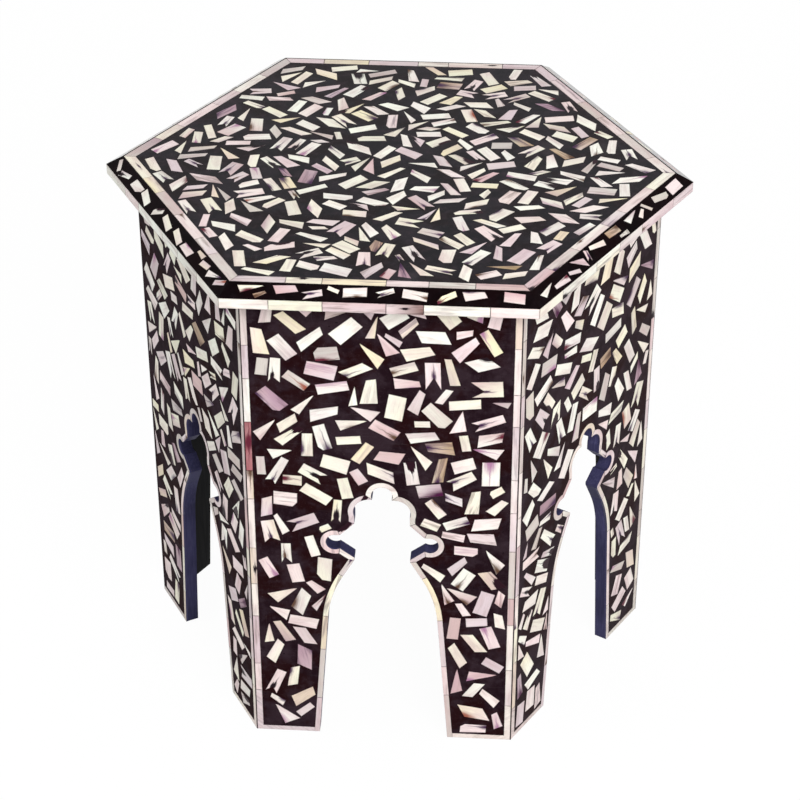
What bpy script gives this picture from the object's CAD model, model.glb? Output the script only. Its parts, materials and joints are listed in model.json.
# Looks of a hexagonal side table inlaid with bone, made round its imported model.
# The pieces are in metres. The grain of each piece is kept in millimetres.
import json
import math
import random

import bmesh
import bpy
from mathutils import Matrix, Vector

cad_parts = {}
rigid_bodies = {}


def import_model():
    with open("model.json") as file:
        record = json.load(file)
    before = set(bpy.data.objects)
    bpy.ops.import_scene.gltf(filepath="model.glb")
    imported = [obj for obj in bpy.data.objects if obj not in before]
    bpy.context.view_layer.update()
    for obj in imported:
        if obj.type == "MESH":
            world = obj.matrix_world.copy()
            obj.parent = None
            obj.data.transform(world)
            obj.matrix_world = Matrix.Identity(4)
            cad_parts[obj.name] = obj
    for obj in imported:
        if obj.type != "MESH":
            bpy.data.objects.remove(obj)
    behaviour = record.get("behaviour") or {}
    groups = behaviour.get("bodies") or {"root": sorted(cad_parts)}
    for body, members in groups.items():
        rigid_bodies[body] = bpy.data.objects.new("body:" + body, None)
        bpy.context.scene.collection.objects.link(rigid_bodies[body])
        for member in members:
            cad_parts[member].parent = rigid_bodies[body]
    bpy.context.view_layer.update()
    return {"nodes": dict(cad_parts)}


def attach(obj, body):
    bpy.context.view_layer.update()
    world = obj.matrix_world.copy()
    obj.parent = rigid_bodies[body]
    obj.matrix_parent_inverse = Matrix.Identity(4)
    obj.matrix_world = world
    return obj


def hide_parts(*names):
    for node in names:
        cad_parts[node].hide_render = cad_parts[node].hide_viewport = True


for left_over in list(bpy.data.objects):
    bpy.data.objects.remove(left_over)
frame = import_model()

MM = 0.001
SIDES = ("front", "front_right", "back_right", "back", "back_left", "front_left")
# A point inside the table, from which every outer face looks away
HEART = Vector((0, 0, 0.2))
# A slanting line along which no two pieces lie level, to put them in the same order every time
ORDER_LINE = Vector((1.0, 0.37, 0.19))

# Camera, as the photograph was taken: a frame of 800 by 800 pixels
PHOTO_SIDE = 800
PRINCIPAL_POINT = (398.2, 394.3)
FOCAL_PIXELS = 2388.2
SENSOR_WIDTH = 36.0
CAMERA_AZIMUTH = 4.04
CAMERA_ELEVATION = 33.11
CAMERA_ROLL = -0.12
CAMERA_DISTANCE = 2.1509
CAMERA_AIM = Vector((0, 0, 0.2325))

# Strength of the world as it lights the table, and as it shows behind it
WORLD_LIGHT = 0.40
BACKGROUND = 1.0
WHITE = (1.0, 1.0, 1.0)
COOL_WHITE = (0.92, 0.98, 1.0)
FLOOR_SIZE = 12.0
FLOOR_COLOUR = (0.74, 0.74, 0.74)
# The floor lies this far below the feet, so that both can be seen from below
FLOOR_DROP = 0.0004
# Share of the floor's look that is plain white, and how bright that white is
FLOOR_GLOW = 0.96
FLOOR_WHITE = 1.012

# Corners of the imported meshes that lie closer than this, in metres, are one corner
WELD = 1e-6
# Faces that meet at less than this angle are one flat face
FLAT_ANGLE = math.radians(0.5)
# An edge is eased if it turns this far, and is longer than this many times the width of the easing
SHARP_ANGLE = math.radians(25)
EASED_LENGTH = 4
# Faces whose areas differ by less than this, in square metres, count as equal
TIE_BREAK = 1e-7
# A shape whose spread differs by less than this share has no long axis
EVEN_SPREAD = 0.02
# A corner that turns inwards by more than this, as a sine, is a notch
NOTCH_TURN = 0.05
# Cosine of the angle to the outer face's normal, either way, up to which a face is a sawn side
SAWN_TURN = 0.5

# Widths in millimetres of the worn edges and of the dirt line inside them
CHIP_EDGE = 0.12
CHIP_RIM = 0.4
STRIP_EDGE = 0.15
STRIP_RIM = 0.35
BOARD_EDGE = 0.4
WOOD_EDGE = 0.6
# Depths in metres of the dents in each surface
BONE_DENTS = 0.00005
RESIN_DENTS = 0.00006
BOARD_DENTS = 0.0001

# Distance in millimetres between the grain of one piece and the next, so that no two are alike
GRAIN_STEP = 37.0
# How far the grain may lean away from the long axis of a piece, as the spread of its slope
CHIP_LEAN = 0.06
STRIP_LEAN = 0.02
BOARD_LEAN = 0.01

# Tones of bone
BONE_TONES = {
    "white": (0.955, 0.95, 0.905),
    "ivory": (0.94, 0.925, 0.845),
    "shell": (0.93, 0.89, 0.86),
    "yellow": (0.94, 0.895, 0.76),
    "pink": (0.93, 0.86, 0.85),
    "dusk": (0.84, 0.775, 0.785),
    "grey": (0.80, 0.765, 0.735),
    "rose": (0.81, 0.68, 0.68),
    "sand": (0.875, 0.81, 0.73),
    "tan": (0.66, 0.55, 0.41),
    "mauve": (0.65, 0.53, 0.58),
    "red": (0.62, 0.35, 0.36),
}
# How far a piece may be lighter or darker than its tone
CHIP_VARIETY = 0.03
STRIP_VARIETY = 0.02
# How often each tone comes, by what the name of the node starts with. The legs are pinker than the rest
TONE_SHARES = {
    "legs": {
        "ivory": 18, "white": 13, "shell": 8, "yellow": 3, "pink": 24, "dusk": 13,
        "grey": 6, "sand": 5, "mauve": 3, "tan": 1, "rose": 7, "red": 1,
    },
    "chips_top": {
        "ivory": 38, "white": 28, "yellow": 6, "pink": 9, "dusk": 6,
        "grey": 7, "mauve": 1, "tan": 1, "rose": 3, "red": 1,
    },
    "chips_bevel": {
        "ivory": 26, "white": 10, "shell": 14, "yellow": 7, "pink": 11, "dusk": 10,
        "grey": 13, "sand": 5, "mauve": 2, "tan": 4, "rose": 3,
    },
    "chips": {
        "ivory": 30, "white": 27, "yellow": 4, "pink": 17, "dusk": 9,
        "grey": 6, "mauve": 2, "tan": 1, "rose": 3, "red": 1,
    },
    "arch": {
        "shell": 16, "ivory": 4, "white": 1, "yellow": 1, "pink": 17, "dusk": 20,
        "grey": 24, "sand": 12, "rose": 5,
    },
    "top_border": {
        "shell": 20, "ivory": 12, "yellow": 2, "pink": 18, "dusk": 25, "grey": 23,
    },
    "border": {
        "shell": 22, "ivory": 9, "white": 7, "yellow": 3, "pink": 15, "dusk": 17,
        "grey": 18, "sand": 6, "rose": 3,
    },
    "": {
        "shell": 28, "ivory": 14, "white": 20, "pink": 16, "dusk": 12, "grey": 10,
    },
}
# Tones that the tone of a piece may turn towards, and how far it turns at most
OTHER_TONES = {"white": 4, "pink": 4, "dusk": 2, "yellow": 1, "grey": 1, "rose": 2, "mauve": 1}
OTHER_SHARE = 0.8
# Tones of the chips that are notched, and of those that are streaked all over
NOTCH_TONES = {"white": 4, "pink": 3, "dusk": 2, "ivory": 2}
STREAK_TONES = {"dusk": 4, "pink": 5, "ivory": 3, "grey": 2, "mauve": 1}
# The deepest tones are never plain: each is streaked and soaked with one of these stains
SOAKED_TONES = {"mauve": ("plum", "purple"), "tan": ("brown", "purple"), "red": ("black", "wine")}

# Stains in the bone: a name, its colour and how hard its edge is
STAINS = {
    "purple": (0.24, 0.12, 0.26, 0.0),
    "brown": (0.36, 0.26, 0.20, 0.0),
    "wine": (0.38, 0.12, 0.19, 0.2),
    "rust": (0.60, 0.34, 0.27, 0.0),
    "orchid": (0.66, 0.47, 0.59, 0.0),
    "plum": (0.27, 0.06, 0.22, 0.1),
    "black": (0.09, 0.03, 0.07, 0.6),
    "broken": (0.135, 0.02, 0.075, 1.0),
}
# How often each stain comes in the chips, in a notch, in a chip streaked all over, and in the strips
CHIP_STAINS = {"purple": 5, "orchid": 4, "brown": 4, "wine": 2, "rust": 1, "black": 1, "broken": 3}
NOTCH_STAINS = {"purple": 6, "black": 2, "brown": 1}
STREAK_STAINS = {"purple": 4, "orchid": 3, "brown": 3, "wine": 2}
STRIP_STAINS = {"brown": 3, "purple": 3, "black": 1}
# A piece whose draw is below the first number is stained at one end, below the second at one side,
# and below the third it is streaked all over
CHIP_CHANCES = (0.20, 0.28, 0.39)
STRIP_CHANCES = (0.16, 0.22, 0.36)
# Strength of the streaks: the mean and spread in most pieces, and the range where they are strong
CHIP_STREAK = (0.06, 0.10)
STRIP_STREAK = (0.20, 0.18)
STREAKED_CHIP = (0.6, 0.95)
STREAKED_STRIP = (0.5, 0.9)
SOAKED_CHIP = (0.45, 0.9)
# A chip's stain reaches over a share of its width, and these millimetres more at an end or a side
STAIN_SHARE = (0.25, 0.55)
END_STAIN = 1.8
SIDE_STAIN = 1.5
# A soaked chip's stain reaches over this many times the share
SOAKED_MORE = 1.5
# Reach in millimetres of a stain in a notch, at the end of a strip and at the side of a strip
NOTCH_STAIN = (2.6, 4.6)
STRIP_END_STAIN = (2.6, 5.0)
STRIP_SIDE_STAIN = 2.4
# A stain that reaches less far than this isn't drawn
LEAST_STAIN = 0.1
UNSTAINED = (0.0, 0.0, 0.0)

# Colours within the bone
BONE_HAZE = (0.80, 0.67, 0.68)
BONE_BANDS = (0.70, 0.60, 0.57)
BONE_HAIRS = (0.50, 0.40, 0.40)
BONE_PORES = (0.38, 0.30, 0.28)
BONE_DIRT = (0.22, 0.14, 0.14)
# Each resin: its body, its haze and its deep places
TOP_RESIN = ((0.095, 0.088, 0.105), (0.150, 0.135, 0.155), (0.090, 0.060, 0.070))
BEVEL_RESIN = ((0.030, 0.010, 0.016), (0.060, 0.026, 0.036), (0.054, 0.008, 0.014))
SIDE_RESIN = ((0.115, 0.060, 0.085), (0.185, 0.135, 0.160), (0.125, 0.035, 0.040))
RESIN_SMOKE = (0.24, 0.19, 0.22)
RESIN_GRIT = (0.40, 0.34, 0.32)
RESIN_SCRATCHES = (0.48, 0.46, 0.46)
RESIN_PITS = (0.03, 0.02, 0.03)
# The bevel's polish shows more and more from the first of these to the second, where 1 is seen edge on
GLANCE = (0.60, 0.78)
# Paint of the boards, thin and thick
BLACK_PAINT = (0.030, 0.028, 0.034)
BLACK_THICK = (0.060, 0.060, 0.075)
NAVY_PAINT = (0.240, 0.232, 0.365)
NAVY_THICK = (0.330, 0.325, 0.450)
FADED_PAINT = (0.05, 0.05, 0.08)
BARE_BOARD = (0.40, 0.33, 0.28)
# Wood of the blocks and cleats
EARLY_WOOD = (0.72, 0.56, 0.38)
LATE_WOOD = (0.52, 0.35, 0.20)
WOOD_PORES = (0.34, 0.21, 0.12)
SAWN_WOOD = (0.82, 0.70, 0.54)
WOOD_DIRT = (0.30, 0.20, 0.13)
# Zinc of the screws
BRIGHT_ZINC = (0.80, 0.79, 0.76)
STAINED_ZINC = (0.62, 0.58, 0.50)

# Tones of the strips along the front of the top, from left to right, as the photograph shows them
FRONT_RUNS = {
    "top_border_strips": ("dusk", "ivory", "yellow", "pink", "grey", "rose"),
    "top_edge_strips": ("white", "ivory", "dusk", "tan", "white", "pink"),
}
# A strip is in the front run if it lies this far forward and this near the middle of the table, and
# the tones of the run are spread over this far to each side, all in metres
RUN_FORWARD = 0.18
RUN_HALF = 0.128
RUN_SPREAD = 0.125
# The tan strip in the front run: the tones of its left and right ends, and the reach of its mark
TAN_TONES = ((0.88, 0.81, 0.81), (0.50, 0.38, 0.36))
TAN_MARK = 1.6
# Height in metres up to which a side is its two legs
LEG_HEIGHT = 0.19
# The one red strip in the left edge of the front, by its height in metres, and the reach of a strip
RED_STRIP_HEIGHT = 0.315
STRIP_REACH = 0.02
# Tones and streaks of the red strip, and the reach in millimetres of the stain there and just below
RED_TONES = ((0.64, 0.38, 0.40), (0.68, 0.44, 0.45))
RED_STREAK = 0.5
RED_STAIN = 6.5
# Gaps in the strip of the front arch that are filled with resin: across, up and half length, in metres
FILLED_GAPS = ((-0.031, 0.227, 0.0050), (-0.014, 0.257, 0.0032))


def linear(colour):
    """A colour written as it looks on a screen, as the linear colour that shaders use."""
    flat = [c / 12.92 if c <= 0.04045 else ((c + 0.055) / 1.055) ** 2.4 for c in colour]
    return (*flat, 1.0)


# Node trees


def add(tree, kind, inputs=None, **settings):
    """A node with its settings, each input joined to a socket or set to a value."""
    node = tree.nodes.new("ShaderNode" + kind)
    for name, value in settings.items():
        setattr(node, name, value)
    for name, value in (inputs or {}).items():
        if isinstance(value, bpy.types.NodeSocket):
            tree.links.new(value, node.inputs[name])
        else:
            node.inputs[name].default_value = value
    return node


def maths(tree, operation, a, b=0.0):
    """The number that the operation makes of a and b."""
    return add(tree, "Math", {0: a, 1: b}, operation=operation).outputs[0]


def plus(tree, a, b):
    """The sum of two numbers."""
    return maths(tree, "ADD", a, b)


def minus(tree, a, b):
    """The first number less the second."""
    return maths(tree, "SUBTRACT", a, b)


def times(tree, a, b):
    """The product of two numbers."""
    return maths(tree, "MULTIPLY", a, b)


def vectors(tree, operation, a, b=(0, 0, 0)):
    """The vector that the operation makes of a and b."""
    return add(tree, "VectorMath", {0: a, 1: b}, operation=operation).outputs[0]


def mixed(tree, share, a, b):
    """Colour a, with a share of colour b laid over it."""
    return add(tree, "Mix", {0: share, 6: a, 7: b}, data_type="RGBA").outputs[2]


def veiled(tree, colour, mask, amount, veil):
    """A colour with a second one over it where the mask is, up to an amount."""
    return mixed(tree, times(tree, mask, amount), colour, linear(veil))


def step(tree, value, low, high, out_low=0.0, out_high=1.0):
    """A smooth step from out_low to out_high as the value goes from low to high."""
    inputs = {"Value": value, "From Min": low, "From Max": high, "To Min": out_low, "To Max": out_high}
    return add(tree, "MapRange", inputs, interpolation_type="SMOOTHSTEP").outputs[0]


def cloud(tree, place, waves, detail=2.0, roughness=0.5):
    """Noise from 0 to 1, with about this many waves in a unit of length along each axis."""
    inputs = {
        "Vector": vectors(tree, "MULTIPLY", place, waves),
        "Scale": 1.0,
        "Detail": detail,
        "Roughness": roughness,
    }
    return add(tree, "TexNoise", inputs).outputs[0]


def attribute(tree, name, output):
    """A socket with something that each piece carries, such as its tone."""
    return add(tree, "Attribute", attribute_name=name).outputs[output]


def use_group(tree, group, inputs):
    """The outputs of a node group placed in a tree."""
    return add(tree, "Group", inputs, node_tree=group).outputs


# Surfaces, each a node group that puts out a colour, a roughness and a height


def new_surface(name, inputs):
    """An empty surface group, with what it is given and what it has to put out."""
    tree = bpy.data.node_groups.new(name, "ShaderNodeTree")
    for socket, kind in inputs.items():
        tree.interface.new_socket(socket, in_out="INPUT", socket_type="NodeSocket" + kind)
    for socket, kind in {"Color": "Color", "Roughness": "Float", "Height": "Float"}.items():
        tree.interface.new_socket(socket, in_out="OUTPUT", socket_type="NodeSocket" + kind)
    source = tree.nodes.new("NodeGroupInput")
    target = tree.nodes.new("NodeGroupOutput")
    return tree, source.outputs, target.inputs


def put_out(tree, result, colour, roughness, height):
    """Joins what a surface group has made to its outputs."""
    tree.links.new(colour, result["Color"])
    tree.links.new(roughness, result["Roughness"])
    tree.links.new(height, result["Height"])


def stain_mask(tree, grain, from_spot, size, hardness):
    """A ragged stain round a spot, drawn out along the grain."""
    flat = vectors(tree, "MULTIPLY", from_spot, (0.55, 1.3, 0))
    away = add(tree, "VectorMath", {0: flat}, operation="LENGTH").outputs["Value"]
    fibres = times(tree, cloud(tree, grain, (0.05, 1.5, 1), 2), 3.6)
    ragged = times(tree, cloud(tree, grain, (0.35, 0.8, 1), 3, 0.65), 2.4)
    edge = minus(tree, plus(tree, away, plus(tree, ragged, fibres)), 3.0)
    inside = maths(tree, "DIVIDE", edge, maths(tree, "MAXIMUM", size, LEAST_STAIN))
    hard = plus(tree, times(tree, hardness, 0.7), 0.15)
    return step(tree, inside, hard, 1.0, 1.0, 0.0)


def crack_mask(tree, grain, from_spot, size):
    """A bent crack that runs both ways from a spot along the grain and fades."""
    offset = add(tree, "SeparateXYZ", {0: from_spot}).outputs
    bend = times(tree, minus(tree, cloud(tree, grain, (0.2, 0.05, 1), 2), 0.5), 2.4)
    aside = maths(tree, "ABSOLUTE", plus(tree, offset[1], bend))
    along = maths(tree, "ABSOLUTE", offset[0])
    reach = maths(tree, "DIVIDE", along, maths(tree, "MAXIMUM", size, LEAST_STAIN))
    return times(tree, step(tree, aside, 0.1, 0.9, 1.0, 0.0), step(tree, reach, 1.2, 4.0, 0.75, 0.0))


def bone_group():
    """Bone: streaks along the grain, soft clouds, fine pores, one stain and a dirty rim."""
    inputs = {
        "Tone": "Color", "Stain": "Color", "Hardness": "Float", "Grain": "Vector",
        "Spot": "Vector", "Streak": "Float", "Rim": "Float",
    }
    tree, given, result = new_surface("bone_surface", inputs)
    grain = given["Grain"]
    bands = step(tree, cloud(tree, grain, (0.05, 0.42, 1), 3), 0.45, 0.72)
    hairs = step(tree, cloud(tree, grain, (0.09, 2.6, 1), 2), 0.56, 0.74)
    pores = step(tree, cloud(tree, grain, (0.9, 4.5, 1), 1), 0.66, 0.78)
    haze = step(tree, cloud(tree, grain, (0.06, 0.14, 1), 2), 0.40, 0.66)
    stripes = step(tree, cloud(tree, grain, (0.035, 0.34, 1), 3, 0.6), 0.46, 0.66)
    dirt = step(tree, cloud(tree, grain, (0.3, 0.3, 1)), 0.3, 0.7, 0.2, 0.6)

    spot = add(tree, "SeparateXYZ", {0: given["Spot"]}).outputs
    size = spot[2]
    centre = add(tree, "CombineXYZ", {0: spot[0], 1: spot[1]}).outputs[0]
    from_spot = vectors(tree, "SUBTRACT", grain, centre)
    marked = maths(tree, "GREATER_THAN", size, LEAST_STAIN)
    stain = times(tree, stain_mask(tree, grain, from_spot, size, given["Hardness"]), marked)
    crack = times(tree, crack_mask(tree, grain, from_spot, size), marked)

    hazy = mixed(tree, 0.5, given["Tone"], linear(BONE_HAZE))
    warm = mixed(tree, times(tree, haze, 0.5), given["Tone"], hazy)
    banded = veiled(tree, warm, bands, 0.20, BONE_BANDS)
    half_stained = mixed(tree, 0.62, given["Tone"], given["Stain"])
    streaked = mixed(tree, times(tree, stripes, given["Streak"]), banded, half_stained)
    haired = veiled(tree, streaked, hairs, 0.20, BONE_HAIRS)
    pored = veiled(tree, haired, pores, 0.35, BONE_PORES)
    cracked = mixed(tree, crack, pored, given["Stain"])
    stained = mixed(tree, stain, cracked, given["Stain"])
    rimmed = mixed(tree, times(tree, given["Rim"], dirt), stained, linear(BONE_DIRT))

    rough = plus(tree, times(tree, hairs, 0.12), step(tree, haze, 0, 1, 0.30, 0.42))
    roughness = plus(tree, rough, times(tree, stain, 0.12))
    dents = plus(tree, times(tree, hairs, 0.3), times(tree, pores, 0.6))
    put_out(tree, result, rimmed, roughness, minus(tree, 1.0, plus(tree, dents, stain)))
    return tree


def resin_group():
    """Filling resin: cloudy, with small pits, and a share of smoke, grit, bone dust and fine scratches."""
    inputs = {"Body": "Color", "Cloud": "Color", "Deep": "Color", "Dust": "Float", "Place": "Vector"}
    tree, given, result = new_surface("resin_surface", inputs)
    place = given["Place"]
    elsewhere = vectors(tree, "ADD", place, (500, 0, 0))
    slant = vectors(tree, "ADD", place, vectors(tree, "MULTIPLY", place, (0.4, -0.3, 0.2)))
    haze = step(tree, cloud(tree, place, (0.030,) * 3, 4, 0.6), 0.42, 0.60)
    depth = step(tree, cloud(tree, elsewhere, (0.022,) * 3, 4, 0.6), 0.46, 0.60)
    smoke = step(tree, cloud(tree, place, (0.16,) * 3, 3), 0.45, 0.75)
    grit = step(tree, cloud(tree, place, (1.1,) * 3, 2), 0.66, 0.76)
    pits = step(tree, cloud(tree, place, (0.5,) * 3, 1), 0.72, 0.78)
    scratches = step(tree, cloud(tree, slant, (0.02, 0.02, 1.4), 2), 0.66, 0.76)
    swirls = step(tree, cloud(tree, slant, (1.3, 0.03, 0.03), 2), 0.67, 0.77)
    marks = maths(tree, "MAXIMUM", scratches, swirls)

    cloudy = mixed(tree, times(tree, haze, 0.85), given["Body"], given["Cloud"])
    deep = mixed(tree, times(tree, depth, 0.85), cloudy, given["Deep"])
    smoky = veiled(tree, deep, smoke, 0.30, RESIN_SMOKE)
    gritty = veiled(tree, smoky, grit, 0.28, RESIN_GRIT)
    marked = veiled(tree, gritty, marks, 0.10, RESIN_SCRATCHES)
    dusty = mixed(tree, given["Dust"], deep, marked)
    pitted = veiled(tree, dusty, pits, 0.8, RESIN_PITS)

    roughness = plus(tree, step(tree, haze, 0, 1, 0.30, 0.40), times(tree, marks, 0.2))
    dents = plus(tree, times(tree, marks, 0.15), pits)
    put_out(tree, result, pitted, roughness, minus(tree, 1.0, dents))
    return tree


def paint_group():
    """Brushed paint on board: brush lines, thin places where the board shows, and dust."""
    inputs = {"Paint": "Color", "Thick": "Color", "Bare": "Color", "Grain": "Vector", "Rim": "Float"}
    tree, given, result = new_surface("brushed_paint", inputs)
    grain = given["Grain"]
    brush = cloud(tree, grain, (0.03, 0.7, 0.7), 3)
    uneven = step(tree, cloud(tree, grain, (0.02, 0.02, 0.02), 3), 0.35, 0.7)
    thin = step(tree, cloud(tree, grain, (0.25, 0.25, 0.25), 4, 0.7), 0.52, 0.66)
    worn = times(tree, thin, given["Rim"])

    streaked = mixed(tree, step(tree, brush, 0.35, 0.75, 0, 0.5), given["Paint"], given["Thick"])
    faded = veiled(tree, streaked, uneven, 0.4, FADED_PAINT)
    bared = mixed(tree, times(tree, worn, 0.7), faded, given["Bare"])
    height = minus(tree, brush, times(tree, worn, 0.8))
    put_out(tree, result, bared, step(tree, brush, 0.3, 0.8, 0.42, 0.62), height)
    return tree


def wood_group():
    """Plain sawn wood: year rings drawn out along the grain, pores and saw marks."""
    tree, given, result = new_surface("sawn_wood", {"Grain": "Vector", "Rim": "Float"})
    grain = given["Grain"]
    rings = maths(tree, "SINE", times(tree, cloud(tree, grain, (0.008, 0.05, 0.05), 2), 90.0))
    late = step(tree, rings, 0.2, 1.0)
    pores = step(tree, cloud(tree, grain, (0.12, 3.0, 3.0), 2), 0.60, 0.72)
    saw = step(tree, cloud(tree, grain, (1.6, 0.03, 0.03), 2), 0.5, 0.75)

    ringed = veiled(tree, linear(EARLY_WOOD), late, 0.5, LATE_WOOD)
    pored = veiled(tree, ringed, pores, 0.5, WOOD_PORES)
    sawn = veiled(tree, pored, saw, 0.18, SAWN_WOOD)
    dusty = veiled(tree, sawn, given["Rim"], 0.3, WOOD_DIRT)
    put_out(tree, result, dusty, step(tree, saw, 0, 1, 0.6, 0.75), minus(tree, saw, pores))
    return tree


BONE = bone_group()
RESIN = resin_group()
PAINT = paint_group()
WOOD = wood_group()


# Materials


def new_material(name, specular, metallic=0.0):
    """A material with its shader, whose constants stand on the shader's own sockets."""
    material = bpy.data.materials.new(name)
    material.use_nodes = True
    shader = material.node_tree.nodes["Principled BSDF"]
    shader.inputs["Specular IOR Level"].default_value = specular
    shader.inputs["Metallic"].default_value = metallic
    return material, material.node_tree, shader


def lay_on(tree, shader, surface, dents):
    """Feeds a surface into the shader, with the depth of its dents in metres."""
    bump = add(tree, "Bump", {"Height": surface["Height"], "Distance": dents, "Strength": 1.0})
    tree.links.new(surface["Color"], shader.inputs["Base Color"])
    tree.links.new(surface["Roughness"], shader.inputs["Roughness"])
    tree.links.new(bump.outputs[0], shader.inputs["Normal"])


def bone_material(name, painted=False):
    """Polished bone, in the tone, stain and grain of each piece. Its sawn sides may be painted navy."""
    material, tree, shader = new_material(name, specular=0.1)
    inputs = {
        "Tone": attribute(tree, "tone", "Color"),
        "Stain": attribute(tree, "stain", "Color"),
        "Hardness": attribute(tree, "stain", "Alpha"),
        "Grain": attribute(tree, "grain", "Vector"),
        "Spot": attribute(tree, "spot", "Vector"),
        "Streak": attribute(tree, "streak", "Fac"),
        "Rim": attribute(tree, "rim", "Fac"),
    }
    surface = use_group(tree, BONE, inputs)
    lay_on(tree, shader, surface, BONE_DENTS)
    if painted:
        paint = mixed(tree, attribute(tree, "sawn", "Fac"), surface["Color"], linear(NAVY_PAINT))
        tree.links.new(paint, shader.inputs["Base Color"])
    return material


def resin_material(name, body, haze, deep, specular, dust=1.0, polished=False):
    """Dark resin with a share of dust. Its polish may catch the light where it is seen edge on."""
    material, tree, shader = new_material(name, specular)
    if polished:
        facing = add(tree, "LayerWeight").outputs["Facing"]
        tree.links.new(step(tree, facing, *GLANCE), shader.inputs["Coat Weight"])
    in_metres = add(tree, "TexCoord").outputs["Object"]
    place = add(tree, "VectorMath", {0: in_metres, "Scale": 1 / MM}, operation="SCALE").outputs[0]
    inputs = {
        "Body": linear(body), "Cloud": linear(haze), "Deep": linear(deep),
        "Dust": dust, "Place": place,
    }
    lay_on(tree, shader, use_group(tree, RESIN, inputs), RESIN_DENTS)
    return material


def painted_material():
    """Board painted black inside and navy blue on the sawn edges."""
    material, tree, shader = new_material("painted_board", specular=0.04)
    sawn = attribute(tree, "sawn", "Fac")
    inputs = {
        "Paint": mixed(tree, sawn, linear(BLACK_PAINT), linear(NAVY_PAINT)),
        "Thick": mixed(tree, sawn, linear(BLACK_THICK), linear(NAVY_THICK)),
        "Bare": linear(BARE_BOARD),
        "Grain": attribute(tree, "grain", "Vector"),
        "Rim": attribute(tree, "edge", "Fac"),
    }
    lay_on(tree, shader, use_group(tree, PAINT, inputs), BOARD_DENTS)
    return material


def wood_material():
    """Bare wood of the blocks and cleats."""
    material, tree, shader = new_material("sawn_wood", specular=0.2)
    inputs = {"Grain": attribute(tree, "grain", "Vector"), "Rim": attribute(tree, "edge", "Fac")}
    lay_on(tree, shader, use_group(tree, WOOD, inputs), BOARD_DENTS)
    return material


def steel_material():
    """Zinc-plated screws, a little dull and stained."""
    material, tree, shader = new_material("zinc_steel", specular=0.5, metallic=1.0)
    place = add(tree, "TexCoord").outputs["Object"]
    dull = cloud(tree, place, (900, 900, 900), 3)
    spots = step(tree, cloud(tree, place, (300, 300, 300), 2), 0.5, 0.7)
    colour = mixed(tree, spots, linear(BRIGHT_ZINC), linear(STAINED_ZINC))
    tree.links.new(colour, shader.inputs["Base Color"])
    tree.links.new(step(tree, dull, 0.3, 0.7, 0.28, 0.5), shader.inputs["Roughness"])
    return material


# Pieces that are dressed: eased edges, and what each one's surface needs to know


def patches(work):
    """The separate pieces in a mesh, each as its list of faces."""
    left = set(work.faces)
    found = []
    for start in work.faces:
        if start not in left:
            continue
        left.discard(start)
        piece = [start]
        for face in piece:
            for edge in face.edges:
                for other in edge.link_faces:
                    if other in left:
                        left.discard(other)
                        piece.append(other)
        found.append(piece)
    return found


def long_axis(points, middle, normal):
    """The direction across the normal in which the points spread the most."""
    one = normal.orthogonal().normalized()
    two = normal.cross(one)
    pairs = [((p - middle).dot(one), (p - middle).dot(two)) for p in points]
    spread_one = sum(a * a for a, _ in pairs)
    spread_two = sum(b * b for _, b in pairs)
    both = sum(a * b for a, b in pairs)
    if math.hypot(2 * both, spread_one - spread_two) < EVEN_SPREAD * (spread_one + spread_two):
        return one
    turn = 0.5 * math.atan2(2 * both, spread_one - spread_two)
    return one * math.cos(turn) + two * math.sin(turn)


class Piece:
    """One separate piece: its outer face, its middle and the axes of its grain."""

    def __init__(self, faces):
        self.faces = faces
        self.verts = list(dict.fromkeys(v for f in faces for v in f.verts))
        self.middle = sum((v.co for v in self.verts), Vector()) / len(self.verts)
        outward = self.middle - HEART
        seen = [f for f in faces if f.normal.dot(outward) > 0]
        self.outer = max(seen, key=lambda f: f.calc_area() + TIE_BREAK * f.normal.dot(ORDER_LINE))
        self.normal = self.outer.normal.copy()
        corners = [v.co for v in self.outer.verts]
        self.along = long_axis(corners, self.middle, self.normal)
        self.across = self.normal.cross(self.along)
        self.length = 2 * max(abs((c - self.middle).dot(self.along)) for c in corners) / MM
        self.width = 2 * max(abs((c - self.middle).dot(self.across)) for c in corners) / MM

    def place(self, point):
        """A point in the piece's own grain: along, across and out of it, in millimetres."""
        from_middle = (point - self.middle) / MM
        return Vector([from_middle.dot(axis) for axis in (self.along, self.across, self.normal)])

    def spot(self, point, reach):
        """A stain round a point: its place in the grain and its reach in millimetres."""
        place = self.place(point)
        return place.x, place.y, reach

    def notch(self):
        """The corner of the outer face that points inwards, if there is one."""
        corners = [v.co for v in self.outer.verts]
        found = []
        for i, corner in enumerate(corners):
            before = corner - corners[i - 1]
            after = corners[(i + 1) % len(corners)] - corner
            if before.cross(after).dot(self.normal) < -NOTCH_TURN * before.length * after.length:
                found.append(corner)
        return max(found, key=lambda corner: corner.dot(ORDER_LINE), default=None)


def is_sharp(edge, shortest):
    """Whether an edge between two faces is sharp, and longer than a length in metres."""
    if len(edge.link_faces) != 2 or edge.calc_face_angle(0) < SHARP_ANGLE:
        return False
    return edge.calc_length() > shortest


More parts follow.
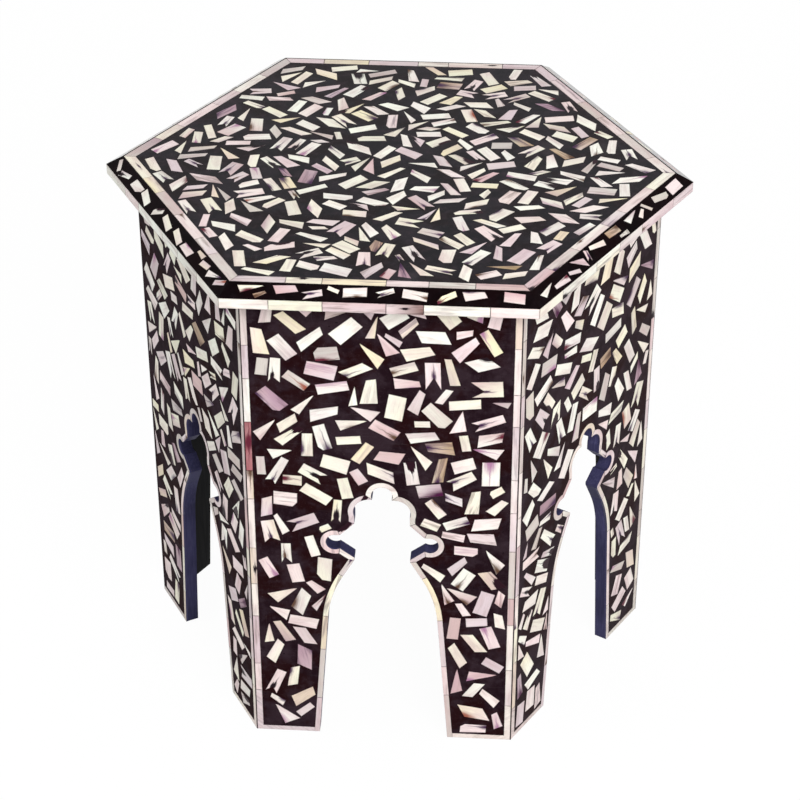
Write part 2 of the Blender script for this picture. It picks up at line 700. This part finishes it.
def eased(node, edge_width, rim_width, outer_only):
    """A welded copy of a node's mesh with its sharp edges eased and a rim inside its outer faces."""
    work = bmesh.new()
    work.from_mesh(node.data)
    bmesh.ops.remove_doubles(work, verts=work.verts, dist=WELD)
    bmesh.ops.dissolve_limit(work, angle_limit=FLAT_ANGLE, verts=work.verts, edges=work.edges)
    sharp = [e for e in work.edges if is_sharp(e, EASED_LENGTH * edge_width * MM)]
    if outer_only:
        shown = {Piece(p).outer for p in patches(work)}
        sharp = [e for e in sharp if any(f in shown for f in e.link_faces)]
    edge = work.faces.layers.float.new("edge")
    made = bmesh.ops.bevel(
        work, geom=sharp, offset=edge_width * MM, offset_type="OFFSET", segments=1,
        profile=0.5, affect="EDGES", clamp_overlap=True,
    )
    for face in made["faces"]:
        face[edge] = 1.0
    if rim_width:
        outer = [Piece(p).outer for p in patches(work)]
        bmesh.ops.inset_individual(work, faces=outer, thickness=rim_width * MM, use_even_offset=True)
    return work


def tone_at(place, piece, tones):
    """The colour at a place in the grain of a piece, where one tone turns to another down a slope."""
    first, second, (slope_x, slope_y) = tones
    share = 0.5 + slope_x * place.x / piece.length + slope_y * place.y / piece.width
    share = min(1.0, max(0.0, share))
    return linear([a + (b - a) * share for a, b in zip(first, second)])


def dress(name, material, edge_width, rim_width, paint, outer_only=False):
    """Makes a dressed copy of a node, which stands for it. paint gives each piece its tone and marks."""
    work = eased(frame["nodes"][name], edge_width, rim_width, outer_only)
    layers = work.verts.layers
    tone = layers.float_color.new("tone")
    stain = layers.float_color.new("stain")
    grain = layers.float_vector.new("grain")
    spot = layers.float_vector.new("spot")
    streak = layers.float.new("streak")
    rim = layers.float.new("rim")
    sawn = work.faces.layers.float.new("sawn")
    dice = random.Random(name)
    pieces = sorted((Piece(p) for p in patches(work)), key=lambda piece: piece.middle.dot(ORDER_LINE))
    for number, piece in enumerate(pieces):
        look = paint(name, piece, dice)
        lean = dice.gauss(0, look["lean"])
        stained = (*linear(look["stain"][:3])[:3], look["stain"][3])
        inner = set(piece.outer.verts)
        for vert in piece.verts:
            place = piece.place(vert.co)
            depth = place.z + GRAIN_STEP * number
            vert[grain] = Vector((place.x + lean * place.y, place.y - lean * place.x, depth))
            vert[tone] = tone_at(place, piece, look["tones"])
            vert[stain] = stained
            vert[spot] = Vector(look["spot"])
            vert[streak] = look["streak"]
            vert[rim] = 0.0 if vert in inner else 1.0
        for face in piece.faces:
            face[sawn] = 0.0 if abs(face.normal.dot(piece.normal)) > SAWN_TURN else 1.0
    mesh = bpy.data.meshes.new(name + "_dressed")
    work.to_mesh(mesh)
    work.free()
    mesh.materials.append(material)
    made = bpy.data.objects.new(name + "_dressed", mesh)
    bpy.context.scene.collection.objects.link(made)
    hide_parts(name)
    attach(made, "root")


# Looks of each piece


def pick(shares, dice):
    """A name, drawn by its share."""
    names = list(shares)
    return dice.choices(names, [shares[n] for n in names])[0]


def tone_for(name, dice):
    """A tone of bone for a piece of the node, drawn by its share."""
    shares = next(found for start, found in TONE_SHARES.items() if name.startswith(start))
    return pick(shares, dice)


def varied(colour, dice, amount):
    """A colour made a little lighter or darker."""
    lift = dice.uniform(-amount, amount)
    return [min(1.0, max(0.0, c + lift + dice.uniform(-amount, amount) / 3)) for c in colour]


def shaded(tone, dice, amount):
    """A tone that turns a little towards another one along or across the piece."""
    first = varied(BONE_TONES[tone], dice, amount)
    other = BONE_TONES[pick(OTHER_TONES, dice)]
    share = dice.uniform(0.0, OTHER_SHARE)
    second = [a + (b - a) * share for a, b in zip(first, other)]
    turn = dice.uniform(0, 2 * math.pi)
    return first, second, (math.cos(turn), math.sin(turn))


def at_end(piece, dice, aside):
    """A place at one end of a piece, off its middle line by up to a share of its width."""
    end = dice.choice((-0.5, 0.5)) * piece.length
    return end, dice.uniform(-aside, aside) * piece.width


def chip_look(name, piece, dice):
    """A random chip of bone: a tone, and a stain at its notch, at one end, at one side or none."""
    tone = tone_for("legs" if piece.middle.z < LEG_HEIGHT else name, dice)
    stain = pick(CHIP_STAINS, dice)
    spot = UNSTAINED
    notch = piece.notch()
    chance = dice.random()
    size = dice.uniform(*STAIN_SHARE) * piece.width
    streak = max(0.0, dice.gauss(*CHIP_STREAK))
    end_stained, side_stained, streaked = CHIP_CHANCES
    if notch is not None:
        stain = pick(NOTCH_STAINS, dice)
        tone = pick(NOTCH_TONES, dice)
        spot = piece.spot(notch, dice.uniform(*NOTCH_STAIN))
    elif chance < end_stained:
        spot = (*at_end(piece, dice, 0.4), END_STAIN + size)
    elif chance < side_stained:
        side = dice.choice((-0.5, 0.5)) * piece.width
        spot = (dice.uniform(-0.3, 0.3) * piece.length, side, SIDE_STAIN + size)
    elif chance < streaked:
        stain = pick(STREAK_STAINS, dice)
        tone = pick(STREAK_TONES, dice)
        streak = dice.uniform(*STREAKED_CHIP)
    if tone in SOAKED_TONES:
        stain = dice.choice(SOAKED_TONES[tone])
        streak = max(streak, dice.uniform(*SOAKED_CHIP))
        spot = (*at_end(piece, dice, 0.5), END_STAIN + SOAKED_MORE * size)
    tones = shaded(tone, dice, CHIP_VARIETY)
    return {"tones": tones, "stain": STAINS[stain], "spot": spot, "streak": streak, "lean": CHIP_LEAN}


def run_tone(run, across):
    """The tone in a run of strips at a place across the front of the top, in metres from its middle."""
    number = int((across + RUN_SPREAD) / (2 * RUN_SPREAD) * len(run))
    return run[min(len(run) - 1, max(0, number))]


def gap_look(piece):
    """What sets off a strip of the front arch where a gap in it was filled with resin."""
    for across, up, half in FILLED_GAPS:
        gap = Vector((across, piece.middle.y, up))
        if (gap - piece.middle).length < 0.5 * piece.length * MM:
            return {"spot": piece.spot(gap, half / MM), "stain": STAINS["broken"]}
    return {}


def red_look(piece):
    """What sets off the red strip in the left edge of the front, and the stained strip below it."""
    below = RED_STRIP_HEIGHT - piece.middle.z
    upwards = Vector((0, 0, 0.5 * piece.length * MM))
    if abs(below) < STRIP_REACH:
        spot = piece.spot(piece.middle + 0.2 * upwards, RED_STAIN)
        tones = (*RED_TONES, (0.0, 1.0))
        return {"tones": tones, "stain": STAINS["wine"], "spot": spot, "streak": RED_STREAK}
    if 0 < below < 3 * STRIP_REACH:
        return {"spot": piece.spot(piece.middle + upwards, RED_STAIN), "stain": STAINS["brown"]}
    return {}


def tan_look(piece):
    """What sets off the tan strip in the front of the top: a dark right end, and a mark."""
    rightwards = math.copysign(1.0, piece.along.x)
    spot = (0.0, -0.1 * piece.width, TAN_MARK)
    return {"tones": (*TAN_TONES, (rightwards, 0.0)), "stain": STAINS["black"], "spot": spot}


def strip_look(name, piece, dice):
    """A short length of bone strip: cream to pink, now and then with a stain."""
    tone = tone_for(name, dice)
    stain = pick(STRIP_STAINS, dice)
    spot = UNSTAINED
    streak = max(0.0, dice.gauss(*STRIP_STREAK))
    end_stained, side_stained, streaked = STRIP_CHANCES
    chance = dice.random()
    if chance < end_stained:
        spot = (*at_end(piece, dice, 0.5), dice.uniform(*STRIP_END_STAIN))
    elif chance < side_stained:
        end = dice.uniform(-0.4, 0.4) * piece.length
        spot = (end, dice.uniform(-0.5, 0.5) * piece.width, STRIP_SIDE_STAIN)
    elif chance < streaked:
        streak = dice.uniform(*STREAKED_STRIP)
    if name in FRONT_RUNS and piece.middle.y < -RUN_FORWARD and abs(piece.middle.x) < RUN_HALF:
        tone = run_tone(FRONT_RUNS[name], piece.middle.x)
    tones = shaded(tone, dice, STRIP_VARIETY)
    look = {"tones": tones, "stain": STAINS[stain], "spot": spot, "streak": streak, "lean": STRIP_LEAN}
    if name == "arch_strips_front":
        look.update(gap_look(piece))
    if name == "border_strips_front" and piece.middle.x < 0:
        look.update(red_look(piece))
    if tone == "tan":
        look.update(tan_look(piece))
    return look


def plain_look(name, piece, dice):
    """Wood and painted board carry only their grain."""
    grey = (0.5, 0.5, 0.5)
    tones = (grey, grey, (0, 0))
    return {"tones": tones, "stain": STAINS["black"], "spot": UNSTAINED, "streak": 0.0, "lean": BOARD_LEAN}


def dress_table():
    """Dresses the bone, the painted boards and the bare wood."""
    strips = bone_material("bone_strip")
    arch_strips = bone_material("arch_strip", painted=True)
    chips = bone_material("bone_chip")
    board = painted_material()
    wood = wood_material()
    for side in SIDES:
        dress("chips_" + side, chips, CHIP_EDGE, CHIP_RIM, chip_look, outer_only=True)
        dress("border_strips_" + side, strips, STRIP_EDGE, STRIP_RIM, strip_look)
        dress("arch_strips_" + side, arch_strips, STRIP_EDGE, STRIP_RIM, strip_look)
        dress("side_board_" + side, board, BOARD_EDGE, 0, plain_look)
        dress("corner_block_" + side, wood, WOOD_EDGE, 0, plain_look)
        dress("cleat_" + side, wood, WOOD_EDGE, 0, plain_look)
    for name in ("chips_top", "chips_bevel"):
        dress(name, chips, CHIP_EDGE, CHIP_RIM, chip_look, outer_only=True)
    for name in ("top_border_strips", "top_edge_strips"):
        dress(name, strips, STRIP_EDGE, STRIP_RIM, strip_look)
    dress("top_board", board, BOARD_EDGE, 0, plain_look)


def finish_frame():
    """Gives the resin and the screws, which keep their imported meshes, their materials."""
    top = resin_material("top_resin", *TOP_RESIN, specular=0.04)
    bevel = resin_material("bevel_resin", *BEVEL_RESIN, specular=0.02, dust=0.2, polished=True)
    sides = resin_material("side_resin", *SIDE_RESIN, specular=0.012)
    dull = resin_material("dull_resin", *SIDE_RESIN, specular=0.002)
    steel = steel_material()
    finish = {"top_resin_field": top, "top_resin_bevel": bevel, "corner_seams": sides}
    finish.update({"side_resin_" + side: sides for side in SIDES})
    finish["side_resin_front_left"] = dull
    finish.update({"top_screws": steel, "cleat_screws": steel})
    for name, material in finish.items():
        for slot in frame["nodes"][name].material_slots:
            slot.material = material


# Studio


def from_angles(azimuth, elevation):
    """The direction from the table to a camera or lamp."""
    a, e = math.radians(azimuth), math.radians(elevation)
    return Vector((math.sin(a) * math.cos(e), -math.cos(a) * math.cos(e), math.sin(e)))


def place_camera():
    """The camera, where the photograph was taken from."""
    data = bpy.data.cameras.new("camera")
    data.sensor_width = SENSOR_WIDTH
    data.lens = FOCAL_PIXELS * SENSOR_WIDTH / PHOTO_SIDE
    data.shift_x = (PHOTO_SIDE / 2 - PRINCIPAL_POINT[0]) / PHOTO_SIDE
    data.shift_y = (PRINCIPAL_POINT[1] - PHOTO_SIDE / 2) / PHOTO_SIDE
    camera = bpy.data.objects.new("camera", data)
    bpy.context.scene.collection.objects.link(camera)
    back = from_angles(CAMERA_AZIMUTH, CAMERA_ELEVATION)
    camera.location = CAMERA_AIM + back * CAMERA_DISTANCE
    camera.rotation_euler = (-back).to_track_quat("-Z", "Y").to_euler()
    camera.rotation_euler.rotate_axis("Z", math.radians(CAMERA_ROLL))
    bpy.context.scene.camera = camera


def place_lamp(name, azimuth, elevation, distance, size, power, colour=WHITE, mirrored=True):
    """A soft square lamp that looks at the table, and shows in glossy faces or not."""
    data = bpy.data.lights.new(name, "AREA")
    data.shape = "SQUARE"
    data.size = size
    data.energy = power
    data.color = colour
    lamp = bpy.data.objects.new(name, data)
    bpy.context.scene.collection.objects.link(lamp)
    back = from_angles(azimuth, elevation)
    lamp.location = CAMERA_AIM + back * distance
    lamp.rotation_euler = (-back).to_track_quat("-Z", "Y").to_euler()
    lamp.visible_glossy = mirrored


def seen_directly(tree):
    """1 for what the camera sees, also in a mirror or through glass, and 0 for what lights the table."""
    rays = add(tree, "LightPath").outputs
    first = maths(tree, "MAXIMUM", rays["Is Camera Ray"], rays["Is Glossy Ray"])
    return maths(tree, "MAXIMUM", first, rays["Is Transmission Ray"])


def light_world():
    """A white background, and a softer light from it on the table."""
    world = bpy.data.worlds.new("studio")
    world.use_nodes = True
    bpy.context.scene.world = world
    tree = world.node_tree
    tree.nodes.clear()
    lit = add(tree, "Background", {"Color": (*WHITE, 1), "Strength": WORLD_LIGHT})
    shown = add(tree, "Background", {"Color": (*WHITE, 1), "Strength": BACKGROUND})
    both = add(tree, "MixShader", {0: seen_directly(tree), 1: lit.outputs[0], 2: shown.outputs[0]})
    add(tree, "OutputWorld", {"Surface": both.outputs[0]})


def floor_material():
    """A pale floor that keeps a soft shadow, fades into the background and is clear from below."""
    material = bpy.data.materials.new("pale_floor")
    material.use_nodes = True
    tree = material.node_tree
    tree.nodes.clear()
    matt = add(tree, "BsdfDiffuse", {"Color": (*FLOOR_COLOUR, 1)})
    glow = add(tree, "Emission", {"Color": (*WHITE, 1), "Strength": FLOOR_WHITE})
    share = times(tree, seen_directly(tree), FLOOR_GLOW)
    both = add(tree, "MixShader", {0: share, 1: matt.outputs[0], 2: glow.outputs[0]})
    clear = add(tree, "BsdfTransparent")
    below = add(tree, "NewGeometry").outputs["Backfacing"]
    sided = add(tree, "MixShader", {0: below, 1: both.outputs[0], 2: clear.outputs[0]})
    add(tree, "OutputMaterial", {"Surface": sided.outputs[0]})
    return material


def lay_floor():
    """A wide square floor just below the feet."""
    half = FLOOR_SIZE / 2
    corners = [(x, y, -FLOOR_DROP) for x, y in ((-half, -half), (half, -half), (half, half), (-half, half))]
    mesh = bpy.data.meshes.new("floor")
    mesh.from_pydata(corners, [], [(0, 1, 2, 3)])
    mesh.materials.append(floor_material())
    floor = bpy.data.objects.new("floor", mesh)
    bpy.context.scene.collection.objects.link(floor)


def light_table():
    """A key lamp on the right and weaker ones on the left, above and behind."""
    place_lamp("key_lamp", azimuth=26, elevation=35, distance=2.5, size=1.2, power=49.5)
    place_lamp("fill_lamp", azimuth=-72, elevation=25, distance=2.8, size=1.6, power=17, colour=COOL_WHITE)
    place_lamp("top_lamp", azimuth=0, elevation=85, distance=2.4, size=1.8, power=6.5)
    place_lamp("back_lamp", azimuth=185, elevation=22, distance=2.8, size=1.8, power=16, mirrored=False)


dress_table()
finish_frame()
place_camera()
light_world()
lay_floor()
light_table()
bpy.context.scene.view_settings.view_transform = "Standard"
